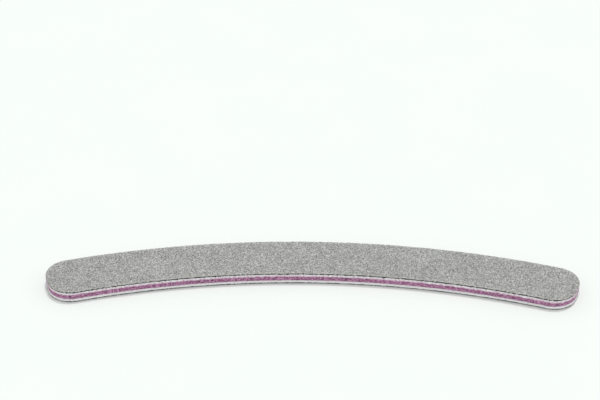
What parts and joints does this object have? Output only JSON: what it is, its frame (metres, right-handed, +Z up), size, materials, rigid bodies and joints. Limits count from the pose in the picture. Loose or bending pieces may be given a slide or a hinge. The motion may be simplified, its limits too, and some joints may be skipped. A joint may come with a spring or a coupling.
{
  "type": "emery board",
  "caption": "Curved, cushioned emery board for filing nails: a flat die-cut laminate with grit on both faces, foam cushions and a coloured plastic core.",
  "frame": {"origin": "middle of the board's bounding box at its underside, on the surface that the board lies on", "axes": "+X along the length, +Y across the width towards the outward-curved edge, +Z up through the thickness; the hollow edge faces -Y"},
  "size_m": [0.1764, 0.0316, 0.004],
  "materials": {
    "abrasive_grit": "mid grey mineral grit bonded in a matt pale resin, with single darker and brighter grains",
    "backing_paper": "dark grey latex-filled paper, seen only at its cut edge",
    "clear_glue": "thin milky film of pressure-sensitive acrylic glue",
    "eva_foam": "off-white closed-cell foam sheet with a fine-pored cut edge",
    "core_plastic": "magenta polystyrene sheet with a scuffed die-cut edge"
  },
  "bodies": {
    "root": {"lower_grit_coat": "abrasive_grit", "lower_backing_paper": "backing_paper", "lower_paper_glue": "clear_glue", "lower_foam_cushion": "eva_foam", "lower_core_glue": "clear_glue", "plastic_core": "core_plastic", "upper_core_glue": "clear_glue", "upper_foam_cushion": "eva_foam", "upper_paper_glue": "clear_glue", "upper_backing_paper": "backing_paper", "upper_grit_coat": "abrasive_grit"}
  },
  "joints": []
}
